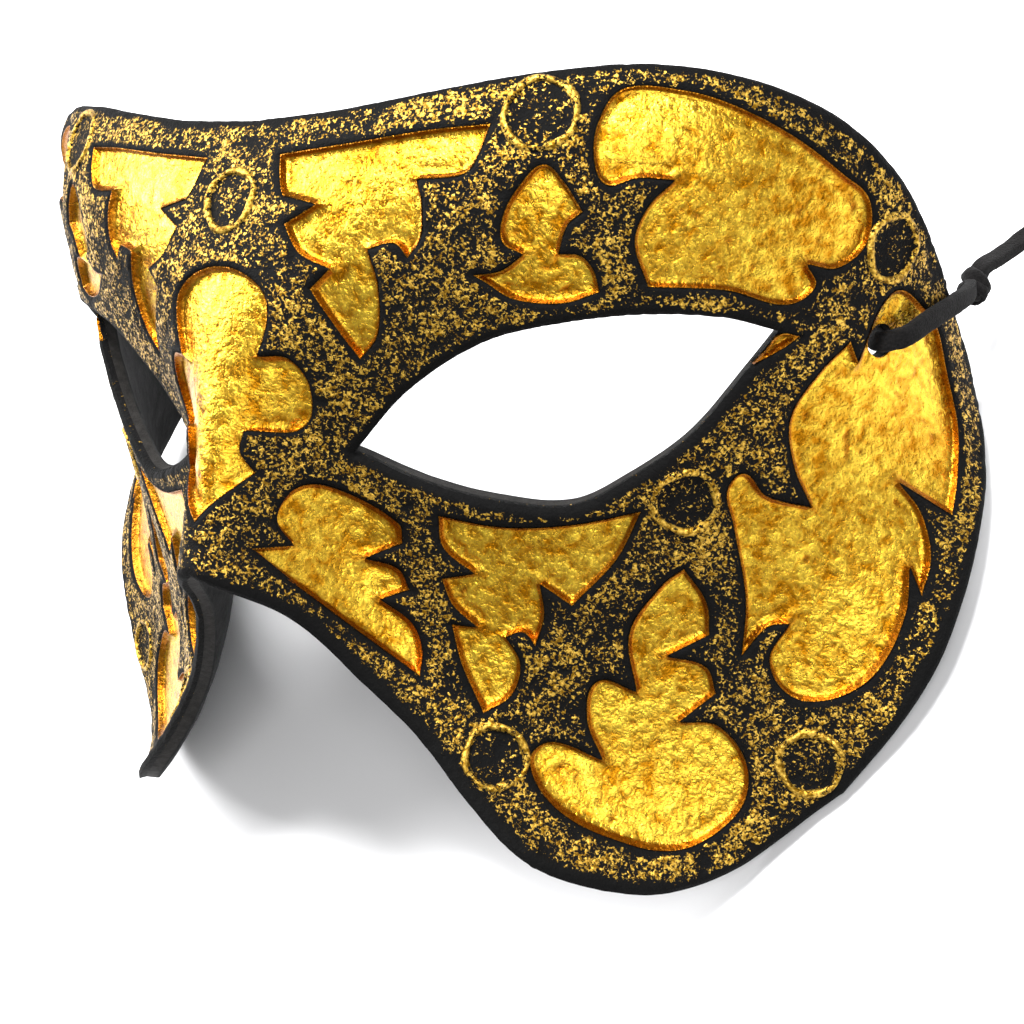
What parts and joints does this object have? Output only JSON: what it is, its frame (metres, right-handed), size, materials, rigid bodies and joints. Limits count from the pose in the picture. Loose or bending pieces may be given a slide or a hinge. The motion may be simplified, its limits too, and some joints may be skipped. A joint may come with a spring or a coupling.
{
  "type": "venetian half mask",
  "caption": "Papier mache half mask with eye openings, raised black relief, sunken gilded inlays, rings and two tie cords put away in coils.",
  "frame": {"origin": "centre of the mask's bounding box in X and Y, on the table plane that its rear tips rest on", "axes": "+X towards the wearer's left, +Y towards the brow, +Z out of the front of the face"},
  "size_m": [0.2307, 0.1481, 0.0851],
  "materials": {
    "papier_mache": "matte black paint over papier mache",
    "lining": "matte black paper lining",
    "relief_paint": "rough black stucco dry-brushed with gold",
    "gilding": "hammered gold paint, satin",
    "suede_cord": "matte black suede"
  },
  "bodies": {
    "root": {"base_shell": "papier_mache", "inner_lining": "lining", "relief_layer": "relief_paint", "nose_inlay": "gilding", "ring_brow_centre": "relief_paint", "wing_inlay_left": "gilding", "wing_inlay_right": "gilding", "brow_inlay_left": "gilding", "brow_inlay_right": "gilding", "temple_inlay_left": "gilding", "temple_inlay_right": "gilding", "side_inlay_left": "gilding", "side_inlay_right": "gilding", "eye_corner_inlay_left": "gilding", "eye_corner_inlay_right": "gilding", "inner_cheek_inlay_left": "gilding", "inner_cheek_inlay_right": "gilding", "middle_cheek_inlay_left": "gilding", "middle_cheek_inlay_right": "gilding", "lower_cheek_inlay_left": "gilding", "lower_cheek_inlay_right": "gilding", "ring_brow_left": "relief_paint", "ring_brow_right": "relief_paint", "ring_temple_left": "relief_paint", "ring_temple_right": "relief_paint", "ring_under_eye_left": "relief_paint", "ring_under_eye_right": "relief_paint", "ring_inner_cheek_left": "relief_paint", "ring_inner_cheek_right": "relief_paint", "ring_outer_cheek_left": "relief_paint", "ring_outer_cheek_right": "relief_paint", "tie_loop_left": "suede_cord", "tie_loop_right": "suede_cord", "tie_knot_left": "suede_cord", "tie_knot_right": "suede_cord", "tie_cord_left": "suede_cord", "tie_cord_right": "suede_cord", "tie_coil_left": "suede_cord", "tie_coil_right": "suede_cord", "coil_band_left": "suede_cord", "coil_band_right": "suede_cord"}
  },
  "joints": []
}
